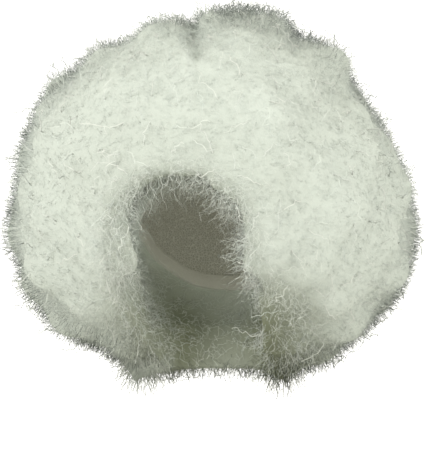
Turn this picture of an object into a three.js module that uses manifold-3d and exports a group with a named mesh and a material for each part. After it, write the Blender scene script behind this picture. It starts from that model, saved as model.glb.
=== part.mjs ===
// A round afro wig in millimetres, +Z up, with the face opening towards -Y. Left is -X, as seen from the
// front. The origin is the crown: where the top of the head touches the inside of the cap.
import * as THREE from "three";
import { mergeVertices } from "three/addons/utils/BufferGeometryUtils.js";
import Module from "manifold-3d";

const wasm = await Module();
wasm.setup();

// Head that the wig is worn on
const headWidth = 152;
const headLength = 192;
const headAbove = 100; // top of the head down to its widest level
const headBelow = 118; // widest level down to where the skull would close
const foreheadNarrowing = 0.1; // the forehead is this much narrower than the back of the head
const neckWidth = 100;
const neckLength = 104;
const neckBack = 8; // the neck's axis lies this far behind the crown

// Cap and the binding along its edge
const capWall = 1.6;
const foreheadDrop = 47; // cap edge below the crown, at the middle of the forehead
const napeDrop = 158; // cap edge below the crown, at the nape
const bindingWidth = 11;
const bindingLeaf = 1;
const bindingFold = 1.2;
const clearance = 0.5; // between pieces that touch
const facetRoom = 0.5; // more room in the hair, whose facets are larger than the cap's

// Hair, measured from the crown
const hairWidth = 384;
const hairAbove = 104;
const hairBelow = 246;
const hairFront = 160;
const hairBack = 202;
const lockReach = 10; // how far a lock stands out of the body of hair
const lockRadius = 34;
const lockRoot = 22; // how deep a lock is rooted in the body of hair
const partingGap = 0.4;

// Face opening, in the hair
const faceWidth = 112;
const fringeOverhang = 6; // how far the fringe hangs below the cap's edge
const faceDrop = foreheadDrop + fringeOverhang;
const faceFlare = 10; // how much wider the opening is, on each side, at the front of the hair
const fringeRise = 3; // how much higher it is there

// Cap edge from the forehead to the nape: drop is a share of the way from foreheadDrop to napeDrop
const capEdge = [
  { place: "forehead", angle: 0, drop: 0 },
  { place: "temple", angle: 32, drop: 0.13 },
  { place: "front of the ear tab", angle: 54, drop: 0.36 },
  { place: "ear tab", angle: 74, drop: 0.54 },
  { place: "over the ear", angle: 94, drop: 0.48 },
  { place: "behind the ear", angle: 118, drop: 0.74 },
  { place: "nape corner", angle: 148, drop: 0.95 },
  { place: "nape", angle: 180, drop: 1 },
];

// Level sections of the hair. level is a share of hairAbove, or of hairBelow under the crown; left and
// right are shares of half the hair's width; front and back are shares of hairFront and hairBack.
const hairSections = [
  { level: 1.0, left: 0.0, right: 0.2, front: 0.05, back: 0.25 },
  { level: 0.97, left: 0.14, right: 0.36, front: 0.35, back: 0.45 },
  { level: 0.88, left: 0.34, right: 0.43, front: 0.48, back: 0.58 },
  { level: 0.7, left: 0.51, right: 0.56, front: 0.64, back: 0.7 },
  { level: 0.46, left: 0.73, right: 0.64, front: 0.8, back: 0.82 },
  { level: 0.14, left: 0.89, right: 0.75, front: 0.93, back: 0.92 },
  { level: -0.12, left: 0.97, right: 0.9, front: 0.99, back: 0.97 },
  { level: -0.36, left: 1.03, right: 0.98, front: 1.0, back: 1.0 },
  { level: -0.53, left: 1.03, right: 0.98, front: 0.9, back: 0.97 },
  { level: -0.68, left: 0.96, right: 0.9, front: 0.68, back: 0.88 },
  { level: -0.8, left: 0.87, right: 0.74, front: 0.4, back: 0.77 },
  { level: -0.9, left: 0.65, right: 0.56, front: 0.14, back: 0.65 },
  { level: -0.97, left: 0.46, right: 0.4, front: -0.02, back: 0.52 },
  { level: -1.0, left: 0.3, right: 0.26, front: -0.14, back: 0.36 },
];

// Locks that the photograph shows by themselves. x is a share of half the hair's width, y of hairFront or
// hairBack (minus is forwards), z of hairAbove or hairBelow; size and reach are shares of a lock's.
const namedLocks = [
  { place: "crown, left edge", x: -0.05, y: -0.1, z: 0.9, size: 0.85, reach: 0.9 },
  { place: "crown, middle", x: 0.18, y: -0.05, z: 0.99, size: 0.95, reach: 1.0 },
  { place: "crown, right edge", x: 0.36, y: -0.1, z: 0.9, size: 0.75, reach: 1.0 },
  { place: "left shoulder", x: -0.62, y: 0, z: 0.66, size: 1.0, reach: 0.8 },
  { place: "left corner", x: -0.84, y: 0, z: 0.36, size: 0.9, reach: 1.2 },
  { place: "right shoulder", x: 0.64, y: 0, z: 0.64, size: 0.9, reach: 0.8 },
  { place: "left nape tuft", x: -0.43, y: 0.2, z: -0.97, size: 0.5, reach: 2.3 },
  { place: "right nape corner", x: 0.3, y: 0.24, z: -0.98, size: 0.55, reach: 1.4 },
];

// Counts
const lockCount = 92;
const lockSides = 5;
const faceLocks = 10;
const capSegments = 44;
const capRings = 8;
const bodySegments = 24;
const bodyRings = 14;

const degrees = Math.PI / 180;
const fullTurn = 2 * Math.PI;
const goldenAngle = Math.PI * (3 - Math.sqrt(5));

// Planes that part the hair: two from the middle of the head over the top, one from ear to ear
const partingLevel = -100; // height at which the partings over the top start
const partingBehind = 32; // how far behind the crown the parting from ear to ear lies at that height
const lean = { left: 0.1, right: 0.4, behind: 0.1 }; // radians from upright
const partings = {
  left: { across: Math.cos(lean.left), back: 0, up: Math.sin(lean.left) },
  right: { across: Math.cos(lean.right), back: 0, up: -Math.sin(lean.right) },
  behind: { across: 0, back: Math.cos(lean.behind), up: -Math.sin(lean.behind) },
};

// Value of a table's column between its rows, smoothly
function between(rows, key, column, at) {
  const last = rows.length - 1;
  let i = 0;
  while (i < last - 1 && (rows[i + 1][key] - at) * Math.sign(rows[last][key] - rows[0][key]) < 0) i += 1;
  const share = THREE.MathUtils.clamp((at - rows[i][key]) / (rows[i + 1][key] - rows[i][key]), 0, 1);
  const before = rows[Math.max(i - 1, 0)][column];
  const after = rows[Math.min(i + 2, last)][column];
  const [a, b] = [rows[i][column], rows[i + 1][column]];
  const slopeA = (b - before) / 2;
  const slopeB = (after - a) / 2;
  const square = share * share;
  const cube = square * share;
  return (
    a * (2 * cube - 3 * square + 1) +
    slopeA * (cube - 2 * square + share) +
    b * (3 * square - 2 * cube) +
    slopeB * (cube - square)
  );
}

// A repeatable number from 0 to 1 for copy n of a thing
function scatter(n, salt) {
  const wave = Math.sin(n * 12.9898 + salt * 78.233) * 43758.5453;
  return wave - Math.floor(wave);
}

function solidOf(geometry) {
  const bare = new THREE.BufferGeometry();
  bare.setAttribute("position", geometry.getAttribute("position").clone());
  bare.setIndex(geometry.getIndex());
  const merged = mergeVertices(bare, 1e-3);
  return new wasm.Manifold(
    new wasm.Mesh({
      numProp: 3,
      vertProperties: new Float32Array(merged.getAttribute("position").array),
      triVerts: new Uint32Array(merged.getIndex().array),
    }),
  );
}

function geometryOf(solid) {
  const mesh = solid.getMesh();
  const geometry = new THREE.BufferGeometry();
  geometry.setAttribute("position", new THREE.BufferAttribute(mesh.vertProperties, 3));
  geometry.setIndex(new THREE.BufferAttribute(mesh.triVerts, 1));
  geometry.computeVertexNormals();
  return geometry;
}

// Moves each corner of a geometry to where place(point) puts it
function reshape(geometry, place) {
  const position = geometry.getAttribute("position");
  const point = new THREE.Vector3();
  for (let i = 0; i < position.count; i += 1) {
    point.fromBufferAttribute(position, i);
    const moved = place(point);
    position.setXYZ(i, moved.x, moved.y, moved.z);
  }
  return geometry;
}

// Point on the head, turn round from the forehead and tilt down from the crown, lifted off the skin
function onHead(turn, tilt, lift) {
  const halfHeight = tilt < Math.PI / 2 ? headAbove : headBelow;
  const narrowing = 1 - foreheadNarrowing * Math.max(0, Math.cos(turn)) * Math.sin(tilt);
  const halfWidth = (headWidth / 2) * narrowing;
  const halfLength = headLength / 2;
  const point = new THREE.Vector3(
    halfWidth * Math.sin(tilt) * Math.sin(turn),
    -halfLength * Math.sin(tilt) * Math.cos(turn),
    halfHeight * Math.cos(tilt),
  );
  const outward = new THREE.Vector3(
    point.x / halfWidth ** 2,
    point.y / halfLength ** 2,
    point.z / halfHeight ** 2,
  ).normalize();
  point.addScaledVector(outward, lift);
  point.z -= headAbove;
  return point;
}

function tiltAtDrop(drop) {
  const below = headAbove - drop;
  return Math.acos(below / (below > 0 ? headAbove : headBelow));
}

function capEdgeTilt(turn) {
  const angle = Math.abs(Math.atan2(Math.sin(turn), Math.cos(turn))) / degrees;
  const share = between(capEdge, "angle", "drop", angle);
  return tiltAtDrop(foreheadDrop + share * (napeDrop - foreheadDrop));
}

// Closed dome over the head with its wall at the given lift, down to the cap's edge. Its last ring lies
// where the binding ends, so that the two pieces stay parallel.
function dome(wall, rings) {
  const bound = bindingWidth / headAbove;
  const profile = [];
  for (let i = 0; i <= rings; i += 1) profile.push(new THREE.Vector2(i / (rings - 1), 0));
  for (let i = rings; i >= 0; i -= 1) profile.push(new THREE.Vector2(i / (rings - 1), wall));
  return reshape(new THREE.LatheGeometry(profile, capSegments), ({ x, y, z }) => {
    const turn = Math.atan2(x, z);
    const edge = capEdgeTilt(turn);
    const share = Math.hypot(x, z);
    return onHead(turn, share > 1.01 ? edge : share * (edge - bound), y);
  });
}

// Ring that follows the cap's edge; each profile point gives a height up the head from the edge and a lift
function edgeRing(points) {
  const away = 100;
  const profile = [...points, points[0]].map(({ up, lift }) => new THREE.Vector2(away + lift, up));
  return reshape(new THREE.LatheGeometry(profile, capSegments), ({ x, y, z }) => {
    const turn = Math.atan2(x, z);
    return onHead(turn, capEdgeTilt(turn) - y / headAbove, Math.hypot(x, z) - away);
  });
}

function cap() {
  return solidOf(dome(capWall, capRings));
}

// Folded ribbon: a leaf inside the cap's edge, a leaf outside it and the fold below
function edgeBinding() {
  const inside = -clearance;
  const outside = capWall + clearance;
  const slotFloor = -clearance;
  return solidOf(
    edgeRing([
      { up: slotFloor - bindingFold, lift: inside - bindingLeaf },
      { up: slotFloor - bindingFold, lift: outside + bindingLeaf },
      { up: bindingWidth, lift: outside + bindingLeaf },
      { up: bindingWidth, lift: outside },
      { up: slotFloor, lift: outside },
      { up: slotFloor, lift: inside },
      { up: bindingWidth, lift: inside },
      { up: bindingWidth, lift: inside - bindingLeaf },
    ]),
  );
}

// Room that the binding takes in the hair
function bindingRoom() {
  const outside = capWall + bindingLeaf + 2 * clearance + facetRoom;
  return solidOf(
    edgeRing([
      { up: -bindingFold - 2 * clearance, lift: -bindingLeaf },
      { up: -bindingFold - 2 * clearance, lift: outside },
      { up: bindingWidth + clearance, lift: outside },
      { up: bindingWidth + clearance, lift: -bindingLeaf },
    ]),
  );
}

// Room for the head with the cap on it, and for the neck below
function headRoom() {
  const lift = capWall + clearance + facetRoom;
  const skull = new THREE.SphereGeometry(1, 32, 16).rotateX(Math.PI / 2);
  reshape(skull, ({ x, y, z }) => {
    const tilt = Math.acos(THREE.MathUtils.clamp(z, -1, 1));
    return onHead(Math.atan2(x, -y), tilt, lift);
  });
  const neck = new THREE.CylinderGeometry(0.5, 0.5, hairBelow, 16).rotateX(Math.PI / 2);
  neck.scale(neckWidth, neckLength, 1).translate(0, neckBack, -headAbove - hairBelow / 2);
  return solidOf(skull).add(solidOf(neck));
}

// Arched way in to the face, wider and higher towards the front and open below
function faceRoom() {
  const half = faceWidth / 2;
  const arch = new THREE.Shape();
  arch.moveTo(-half, -hairBelow);
  arch.lineTo(half, -hairBelow);
  arch.lineTo(half, -half);
  arch.absarc(0, -half, half, 0, Math.PI);
  const reach = 1.3 * hairFront; // right through the front of the hair
  const steps = 3;
  const way = new THREE.ExtrudeGeometry(arch, { depth: 1, steps, bevelEnabled: false, curveSegments: 6 });
  return solidOf(
    reshape(way, ({ x, y, z }) => {
      const depth = z * reach;
      const flare = THREE.MathUtils.smoothstep(depth, headLength / 2, hairFront);
      return new THREE.Vector3(
        x * (1 + (faceFlare * flare) / half),
        -depth,
        y - faceDrop + fringeRise * flare,
      );
    }),
  );
}

// Outline of the hair at one level: its left, right, front and back, as lengths from the origin
function hairExtent(level) {
  const front = between(hairSections, "level", "front", level);
  return {
    left: (between(hairSections, "level", "left", level) * hairWidth) / 2,
    right: (between(hairSections, "level", "right", level) * hairWidth) / 2,
    front: front * (front > 0 ? hairFront : hairBack),
    back: between(hairSections, "level", "back", level) * hairBack,
  };
}

// Point on the body of hair at a level and a turn round from the front
function onHair(level, turn) {
  const { left, right, front, back } = hairExtent(level);
  const squareness = 2.15;
  const [across, along] = [Math.sin(turn), -Math.cos(turn)];
  const reach = (Math.abs(across) ** squareness + Math.abs(along) ** squareness) ** (-1 / squareness);
  const middle = (back - front) / 2;
  return new THREE.Vector3(
    across * reach * (across > 0 ? right : left),
    middle + (along * reach * (back + front)) / 2,
    level * (level > 0 ? hairAbove : hairBelow),
  );
}

function hairBody() {
  const profile = [new THREE.Vector2(0, -1)];
  for (let i = 1; i < bodyRings; i += 1) {
    profile.push(new THREE.Vector2(1, -Math.cos((Math.PI * i) / bodyRings)));
  }
  profile.push(new THREE.Vector2(0, 1));
  return solidOf(
    reshape(new THREE.LatheGeometry(profile, bodySegments), ({ x, y, z }) => {
      const edge = onHair(y, Math.atan2(x, z));
      if (Math.hypot(x, z) > 0.5) return edge;
      const { front, back } = hairExtent(y);
      return new THREE.Vector3(0, (back - front) / 2, edge.z);
    }),
  );
}

// Tapered, twisted and slightly bent lock, rooted in the hair at root and pointing along direction
function lock(root, direction, size, reach, n) {
  const radius = size * lockRadius;
  const length = lockRoot + reach * lockReach;
  const [tip, bulge, winding] = [0.42, 0.35, 0.7];
  const tuft = new THREE.CylinderGeometry(tip, 1, 1, lockSides, 2);
  const bend = 0.5 * lockReach * (scatter(n, 3) - 0.5);
  reshape(tuft, ({ x, y, z }) => {
    const height = y + 0.5;
    const swell = 1 + bulge * Math.sin(Math.PI * height);
    const twist = winding * height;
    const [cos, sin] = [Math.cos(twist), Math.sin(twist)];
    return new THREE.Vector3(
      radius * swell * (x * cos - z * sin) + bend * height * height,
      height * length - lockRoot,
      radius * swell * (x * sin + z * cos),
    );
  });
  tuft.rotateY(fullTurn * scatter(n, 4));
  const turn = new THREE.Quaternion().setFromUnitVectors(new THREE.Vector3(0, 1, 0), direction);
  return solidOf(tuft.applyQuaternion(turn).translate(root.x, root.y, root.z));
}

// Directions of the locks: away from the middle of the hair, leaning down a little
function lockDirection(root) {
  const middle = new THREE.Vector3(0, (hairBack - hairFront) / 2, (hairAbove - hairBelow) / 2);
  const droop = 0.12;
  const direction = root.clone().sub(middle).normalize();
  direction.z -= droop;
  return direction.normalize();
}

// Distance of a point from a parting, positive to the right of it or behind it
function fromParting({ across, back, up }, point) {
  return across * point.x + back * (point.y - partingBehind) + up * (point.z - partingLevel);
}

// Moves the root of a lock away from a parting that it would lie across
function clearOfPartings(root, radius) {
  const apart = 0.7 * radius;
  for (const parting of Object.values(partings)) {
    const distance = fromParting(parting, root);
    if (Math.abs(distance) > apart || (parting.back === 0 && root.z < partingLevel)) continue;
    const step = (distance < 0 ? -apart : apart) - distance;
    root.add(new THREE.Vector3(parting.across, parting.back, parting.up).multiplyScalar(step));
  }
  return root;
}

// Locks spread evenly over the body of hair, apart from the way in to the face
function spreadLocks() {
  const locks = [];
  const lastLevel = 0.98; // nothing is rooted in the flat poles
  for (let n = 0; n < lockCount; n += 1) {
    const height = hairAbove - ((hairAbove + hairBelow) * (n + 0.5)) / lockCount;
    const level = lastLevel * (height > 0 ? height / hairAbove : height / hairBelow);
    const size = 0.8 + 0.4 * scatter(n, 2);
    const turn = n * goldenAngle + 0.3 * scatter(n, 1);
    const root = clearOfPartings(onHair(level, turn), size * lockRadius);
    const inFaceWay = Math.abs(root.x) < faceWidth / 2 + 0.8 * faceFlare && root.z < fringeRise - faceDrop;
    if (inFaceWay && root.y < neckBack) continue;
    locks.push(lock(root, lockDirection(root), size, 0.5 + 0.7 * scatter(n, 5), n));
  }
  return locks;
}

// Small locks side by side round the arch of the face opening, on the face of the hair and leaning inwards
function locksRoundFace() {
  const half = faceWidth / 2;
  const across = half + faceFlare;
  const inwards = 0.3;
  return Array.from({ length: faceLocks }, (_, i) => {
    const turn = Math.PI * (1.08 - (1.16 * i) / (faceLocks - 1));
    const [x, z] = [across * Math.cos(turn), across * Math.sin(turn) - faceDrop - half];
    const level = z / hairBelow;
    const { left, right } = hairExtent(level);
    const root = onHair(level, Math.asin(x / (x > 0 ? right : left)));
    const direction = new THREE.Vector3(-inwards * Math.cos(turn), -1, -inwards * Math.sin(turn)).normalize();
    const size = 0.55 + 0.2 * scatter(i, 7);
    return lock(clearOfPartings(root, size * lockRadius), direction, size, 0.4, i);
  });
}

function photographedLocks() {
  return namedLocks.map(({ x, y, z, size, reach }, n) => {
    const root = new THREE.Vector3(
      (x * hairWidth) / 2,
      y * (y > 0 ? hairBack : hairFront),
      z * (z > 0 ? hairAbove : hairBelow),
    );
    return lock(root, lockDirection(root), size, reach, lockCount + n);
  });
}

function wholeHair() {
  const body = hairBody().subtract(faceRoom());
  const locks = wasm.Manifold.union([...spreadLocks(), ...locksRoundFace(), ...photographedLocks()]);
  return body.add(locks).subtract(headRoom()).subtract(bindingRoom());
}

// The hair on the given sides of the partings: 1 is right of a parting or behind it, -1 is the other side
function hairBetween(hair, sides) {
  return Object.entries(sides).reduce((rest, [name, side]) => {
    const { across, back, up } = partings[name];
    const offset = back * partingBehind + up * partingLevel;
    return rest.trimByPlane([side * across, side * back, side * up], side * offset + partingGap / 2);
  }, hair);
}

function piece(name, solid, finish) {
  const mesh = new THREE.Mesh(geometryOf(solid), new THREE.MeshStandardMaterial(finish));
  mesh.name = name;
  return mesh;
}

const frizz = { color: "#dde3da", roughness: 0.8, metalness: 0 };
const net = { color: "#e4e2da", roughness: 0.9, metalness: 0 };
const ribbon = { color: "#eceae4", roughness: 0.7, metalness: 0 };

const hair = wholeHair();
const wig = new THREE.Group();
wig.add(
  piece("cap", cap(), net),
  piece("edge_binding", edgeBinding(), ribbon),
  piece("hair_crown", hairBetween(hair, { left: 1, right: -1, behind: -1 }), frizz),
  piece("hair_left", hairBetween(hair, { left: -1, behind: -1 }), frizz),
  piece("hair_right", hairBetween(hair, { left: 1, right: 1, behind: -1 }), frizz),
  piece("hair_back", hairBetween(hair, { behind: 1 }), frizz),
);

export default wig;
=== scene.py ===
import math

import bmesh
import bpy
import numpy as np
from mathutils import Matrix, Vector, noise


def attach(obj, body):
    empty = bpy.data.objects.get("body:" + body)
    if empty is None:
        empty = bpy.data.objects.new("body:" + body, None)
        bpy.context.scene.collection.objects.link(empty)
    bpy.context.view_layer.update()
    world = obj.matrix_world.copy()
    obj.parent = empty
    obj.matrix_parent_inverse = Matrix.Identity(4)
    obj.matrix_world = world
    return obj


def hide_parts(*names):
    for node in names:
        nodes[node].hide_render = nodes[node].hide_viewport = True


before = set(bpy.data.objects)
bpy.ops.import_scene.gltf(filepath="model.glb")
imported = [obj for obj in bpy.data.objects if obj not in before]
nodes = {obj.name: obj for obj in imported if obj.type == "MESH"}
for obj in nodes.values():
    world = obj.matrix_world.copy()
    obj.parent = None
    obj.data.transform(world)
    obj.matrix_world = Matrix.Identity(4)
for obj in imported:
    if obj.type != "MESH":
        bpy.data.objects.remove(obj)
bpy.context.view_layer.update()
scene = bpy.context.scene
print("frame loaded:", sorted(nodes))

# What the hair grows round: the head, from its crown at the origin
head = {
    "halfWidth": 0.076,
    "halfLength": 0.096,
    "above": 0.100,  # crown to the widest level
    "below": 0.118,  # widest level to where the skull closes
    "narrowing": 0.1,  # at the forehead
    "foreheadDrop": 0.047,  # the cap's edge below the crown
    "napeDrop": 0.158,
}

# The cap's edge from the forehead to the nape: degrees round, and the share of the way down
capEdge = [(0, 0), (32, 0.13), (54, 0.36), (74, 0.54), (94, 0.48), (118, 0.74), (148, 0.95), (180, 1)]

# Partings: the normal of each plane and a point on it
partings = {
    "left": (Vector((math.cos(0.1), 0, math.sin(0.1))), Vector((0, 0, -0.1))),
    "right": (Vector((math.cos(0.4), 0, -math.sin(0.4))), Vector((0, 0, -0.1))),
    "behind": (Vector((0, math.cos(0.1), -math.sin(0.1))), Vector((0, 0.032, -0.1))),
}
masses = {
    "hair_crown": {"left": 1, "right": -1, "behind": -1},
    "hair_left": {"left": -1, "behind": -1},
    "hair_right": {"left": 1, "right": 1, "behind": -1},
    "hair_back": {"behind": 1},
}


# Node trees

class Field:  # wraps a socket, so that differences and products of sockets add Math nodes
    def __init__(self, tree, socket):
        self.tree = tree
        self.socket = socket

    def math(self, operation, *values):
        return addNode(self.tree, "ShaderNodeMath", {"operation": operation}, dict(enumerate(values)))

    def __sub__(self, other):
        return self.math("SUBTRACT", self, other)

    def __rsub__(self, other):
        return self.math("SUBTRACT", other, self)

    def __mul__(self, other):
        return self.math("MULTIPLY", self, other)

    def __rmul__(self, other):
        return self.math("MULTIPLY", other, self)

    def __pow__(self, other):
        return self.math("POWER", self, other)

    def __abs__(self):
        return self.math("ABSOLUTE", self)


# Adds a node: its settings first, then its sockets by name or number, and returns the named output
def addNode(tree, kind, settings=None, inputs=None, output=0):
    node = tree.nodes.new(kind)
    for name, value in (settings or {}).items():
        setattr(node, name, value)
    for name, value in (inputs or {}).items():
        socket = node.inputs[name] if isinstance(name, int) else socketNamed(node.inputs, name)
        if isinstance(value, Field):
            tree.links.new(value.socket, socket)
        else:
            socket.default_value = value
    found = node.outputs[output] if isinstance(output, int) else socketNamed(node.outputs, output)
    return Field(tree, found)


def socketNamed(sockets, name):
    return next(s for s in sockets if s.enabled and name in (s.name, s.identifier))


def vectorMath(tree, operation, *values):
    return addNode(tree, "ShaderNodeVectorMath", {"operation": operation}, dict(enumerate(values)))


def scaled(tree, vector, amount):
    return addNode(tree, "ShaderNodeVectorMath", {"operation": "SCALE"}, {"Vector": vector, "Scale": amount})


def smoothRange(tree, value, low, high, toLow=0.0, toHigh=1.0):
    return addNode(
        tree,
        "ShaderNodeMapRange",
        {"interpolation_type": "SMOOTHSTEP"},
        {"Value": value, "From Min": low, "From Max": high, "To Min": toLow, "To Max": toHigh},
    )


def newMaterial(name):
    material = bpy.data.materials.new(name)
    material.use_nodes = True
    material.node_tree.nodes.clear()
    return material, material.node_tree


def finishMaterial(tree, settings):
    shader = addNode(tree, "ShaderNodeBsdfPrincipled", None, settings)
    output = tree.nodes.new("ShaderNodeOutputMaterial")
    tree.links.new(shader.socket, output.inputs["Surface"])


def mixColours(tree, factor, first, second):
    sockets = {"Factor_Float": factor, "A_Color": first, "B_Color": second}
    return addNode(tree, "ShaderNodeMix", {"data_type": "RGBA"}, sockets, "Result_Color")


def objectPlace(tree):
    return addNode(tree, "ShaderNodeTexCoord", None, None, "Object")


def bumped(tree, height, settings):
    sockets = {"Strength": settings["strength"], "Distance": settings["depth"], "Height": height}
    return addNode(tree, "ShaderNodeBump", None, sockets)


# Plain meshes

def link(thing):
    scene.collection.objects.link(thing)
    return thing


# The evaluated form of an object as a new plain one; the object and its modifiers go
def plain(thing, name):
    graph = bpy.context.evaluated_depsgraph_get()
    shown = thing.evaluated_get(graph)
    mesh = bpy.data.meshes.new_from_object(shown, preserve_all_data_layers=True, depsgraph=graph)
    bpy.data.objects.remove(thing)
    mesh.name = name
    return link(bpy.data.objects.new(name, mesh))


def corners(mesh):
    places = np.empty(len(mesh.vertices) * 3)
    mesh.vertices.foreach_get("co", places)
    return places.reshape(-1, 3)


def outwardOf(mesh):
    normals = np.empty(len(mesh.vertices) * 3)
    mesh.vertices.foreach_get("normal", normals)
    return normals.reshape(-1, 3)


def moveCorners(mesh, places):
    mesh.vertices.foreach_set("co", places.ravel())
    mesh.update()


def smoothStep(low, high, value):
    share = np.clip((value - low) / (high - low), 0, 1)
    return share * share * (3 - 2 * share)


def triangles(thing):
    return sum(len(face.vertices) - 2 for face in thing.data.polygons)


def finishPiece(piece, slot, *replaced):
    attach(piece, "root")
    if replaced:
        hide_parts(*replaced)
    print(piece.name, triangles(piece), "triangles")


# Head and cap edge

def between(rows, at):
    last = len(rows) - 1
    i = 0
    while i < last - 1 and rows[i + 1][0] < at:
        i += 1
    share = min(max((at - rows[i][0]) / (rows[i + 1][0] - rows[i][0]), 0), 1)
    slopeA = (rows[i + 1][1] - rows[max(i - 1, 0)][1]) / 2
    slopeB = (rows[min(i + 2, last)][1] - rows[i][1]) / 2
    square, cube = share ** 2, share ** 3
    return (
        rows[i][1] * (2 * cube - 3 * square + 1)
        + slopeA * (cube - 2 * square + share)
        + rows[i + 1][1] * (3 * square - 2 * cube)
        + slopeB * (cube - square)
    )


# Tilt from the crown down to the cap's edge, at a turn round from the forehead
def edgeTilt(turn):
    angle = abs(math.degrees(math.atan2(math.sin(turn), math.cos(turn))))
    drop = head["foreheadDrop"] + between(capEdge, angle) * (head["napeDrop"] - head["foreheadDrop"])
    rise = head["above"] - drop
    return math.acos(rise / (head["above"] if rise > 0 else head["below"]))


# Point on the head, lifted off the skin
def onHead(turn, tilt, lift):
    halfHeight = head["above"] if tilt < math.pi / 2 else head["below"]
    narrowing = 1 - head["narrowing"] * max(0, math.cos(turn)) * math.sin(tilt)
    radii = Vector((head["halfWidth"] * narrowing, head["halfLength"], halfHeight))
    way = Vector((math.sin(tilt) * math.sin(turn), -math.sin(tilt) * math.cos(turn), math.cos(tilt)))
    point = Vector(a * b for a, b in zip(way, radii))
    outward = Vector(p / r ** 2 for p, r in zip(point, radii)).normalized()
    return point + outward * lift - Vector((0, 0, head["above"]))


# Roughly how far points lie off the head's skin, and the way outwards
def offHead(places):
    centred = places + (0, 0, head["above"])
    height = np.where(centred[:, 2] > 0, head["above"], head["below"])
    radii = np.empty_like(centred)
    radii[:, 0], radii[:, 1], radii[:, 2] = head["halfWidth"], head["halfLength"], height
    share = np.linalg.norm(centred / radii, axis=1)
    outward = centred / radii ** 2
    steep = np.linalg.norm(outward, axis=1)
    return (share - 1) * share / np.maximum(steep, 1e-6), outward / np.maximum(steep, 1e-6)[:, None]


# The skin of the hair: one closed mesh round all four masses, softened, with its lumps and partings

skinForm = {
    "grow": 0.0004,  # closes the gaps between the masses before they fuse
    "weld": 1e-6,
    "voxel": 0.0056,
    "smoothing": 28,
    "smoothingFactor": 0.5,
    "sink": 0.0050,  # how deep it lies under the outline, which the strands fill
    "clear": (0.008, 0.035),  # how far off the head it starts to sink, and where it does so in full
    "lumps": ((26, 0.0032), (70, 0.0012)),  # frequency per metre and height
    # Where the hair parts: the plane's normal, its distance from the crown, depth, width and lowest level
    "valleys": (
        ((0.953, 0.203, 0.223), 0.0, 0.012, 0.010, 0.0),
        ((0.961, 0.204, -0.183), 0.064, 0.011, 0.010, 0.03),
        ((0.0, 0.995, -0.1), 0.042, 0.005, 0.011, -0.02),
    ),
    "valleyRise": 0.09,  # a valley is full this far above its lowest level
    "capGap": 0.0030,
    "capGapLowest": -0.2,
}


def hairSkin():
    shape = bmesh.new()
    for name in masses:
        shape.from_mesh(nodes[name].data)
    bmesh.ops.remove_doubles(shape, verts=shape.verts, dist=skinForm["weld"])
    shape.normal_update()
    for corner in shape.verts:
        corner.co += corner.normal * skinForm["grow"]
    mesh = bpy.data.meshes.new("hairSkin")
    shape.to_mesh(mesh)
    shape.free()
    skin = link(bpy.data.objects.new("hairSkin", mesh))
    remesh = skin.modifiers.new("remesh", "REMESH")
    remesh.mode = "VOXEL"
    remesh.voxel_size = skinForm["voxel"]
    soften = skin.modifiers.new("soften", "SMOOTH")
    soften.factor = skinForm["smoothingFactor"]
    soften.iterations = skinForm["smoothing"]
    skin = plain(skin, "hairSkin")
    keepLargest(skin.data)
    shapeSkin(skin.data)
    return skin


def keepLargest(mesh):
    shape = bmesh.new()
    shape.from_mesh(mesh)
    islands = []
    seen = set()
    for start in shape.verts:
        if start in seen:
            continue
        island, edge = {start}, [start]
        while edge:
            for side in edge.pop().link_edges:
                for corner in side.verts:
                    if corner not in island:
                        island.add(corner)
                        edge.append(corner)
        seen |= island
        islands.append(island)
    largest = max(islands, key=len)
    spare = [v for v in shape.verts if v not in largest]
    bmesh.ops.delete(shape, geom=spare, context="VERTS")
    shape.to_mesh(mesh)
    shape.free()
    print("hair skin:", len(islands), "islands,", len(mesh.vertices), "corners")


def shapeSkin(mesh):
    places, outward = corners(mesh), outwardOf(mesh)
    off, _ = offHead(places)
    clear = smoothStep(*skinForm["clear"], off)
    depth = -skinForm["sink"] * clear
    for frequency, height in skinForm["lumps"]:
        lumps = np.array([noise.noise(Vector(p) * frequency) for p in places])
        depth += lumps * height * clear
    for normal, distance, deep, wide, start in skinForm["valleys"]:
        away = places @ np.array(normal) - distance
        reach = smoothStep(start, start + skinForm["valleyRise"], places[:, 2])
        depth -= deep * np.exp(-((away / wide) ** 2)) * reach * clear
    places = places + outward * depth[:, None]
    off, awayFromHead = offHead(places)
    low = skinForm["capGap"] - off
    push = np.where((low > 0) & (places[:, 2] > skinForm["capGapLowest"]), low, 0)
    places = places + awayFromHead * push[:, None]
    moveCorners(mesh, places)


# Normals that shade the skin as one soft round form: mostly the big form's, partly the skin's own
bigForm = {
    "centre": (0.0, 0.03, -0.075),
    "radii": (0.205, 0.19, 0.19),
    "share": 0.7,
    "agreement": (0.25, 0.7),  # how alike the two must be: the big form's share starts, and is full
    "wallAgreement": 0.15,  # a cut wall that is less alike keeps its own normal
}


# The ways out from the middle of the big form, and how long they are
def outOfForm(places):
    ways = (places - bigForm["centre"]) / np.array(bigForm["radii"]) ** 2
    return ways, np.linalg.norm(ways, axis=1)


def softenNormals(mesh):
    places, outward = corners(mesh), outwardOf(mesh)
    ways, lengths = outOfForm(places)
    big = ways / lengths[:, None]
    share = smoothStep(*bigForm["agreement"], (big * outward).sum(axis=1)) * bigForm["share"]
    soft = outward * (1 - share[:, None]) + big * share[:, None]
    soft /= np.linalg.norm(soft, axis=1)[:, None]
    layer = mesh.attributes.new("soft", "FLOAT_VECTOR", "POINT")
    layer.data.foreach_set("vector", soft.astype(np.float32).ravel())


# Where each kind of strand grows and how it is coloured there, as attributes of the skin. A pair of numbers
# is where something starts or is whole, and where it is full or has ended.

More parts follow.
